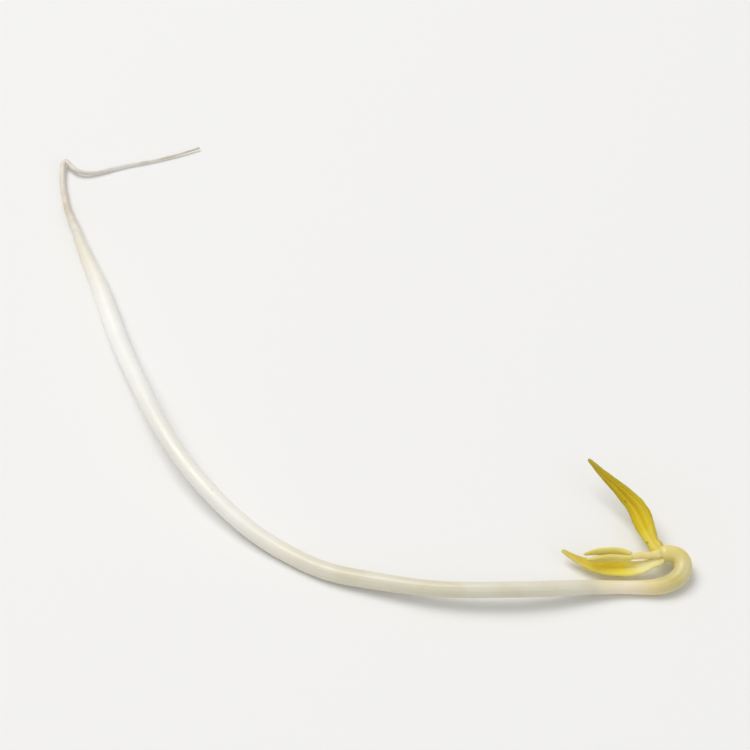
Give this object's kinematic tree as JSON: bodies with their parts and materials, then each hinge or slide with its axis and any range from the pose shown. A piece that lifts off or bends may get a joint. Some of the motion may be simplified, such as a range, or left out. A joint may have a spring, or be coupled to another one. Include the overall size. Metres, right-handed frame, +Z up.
{
  "type": "mung bean sprout",
  "caption": "Single sprouted mung bean lying flat: long curved white stem, thread-like root, hooked neck with slim yellow seed leaves and tiny folded first leaves.",
  "frame": {"origin": "middle of the sprout's footprint, on the surface that it lies on", "axes": "+Z up from the surface; +X along the head's stretch of the stem, from the root's side towards the hooked neck; +Y away from the belly of the stem, towards the root"},
  "size_m": [0.0696, 0.066, 0.0038],
  "materials": {
    "stem_white": "gloss",
    "root_tan": "satin",
    "seed_leaf_ochre": "satin",
    "seed_leaf_yellow": "satin",
    "shoot_cream": "satin",
    "leaf_pale": "satin"
  },
  "bodies": {
    "root": {"hypocotyl": "stem_white", "taproot": "root_tan", "cotyledon_upper": "seed_leaf_ochre", "cotyledon_lower": "seed_leaf_yellow", "epicotyl": "shoot_cream", "first_leaf_left": "leaf_pale", "first_leaf_right": "leaf_pale"}
  },
  "joints": []
}
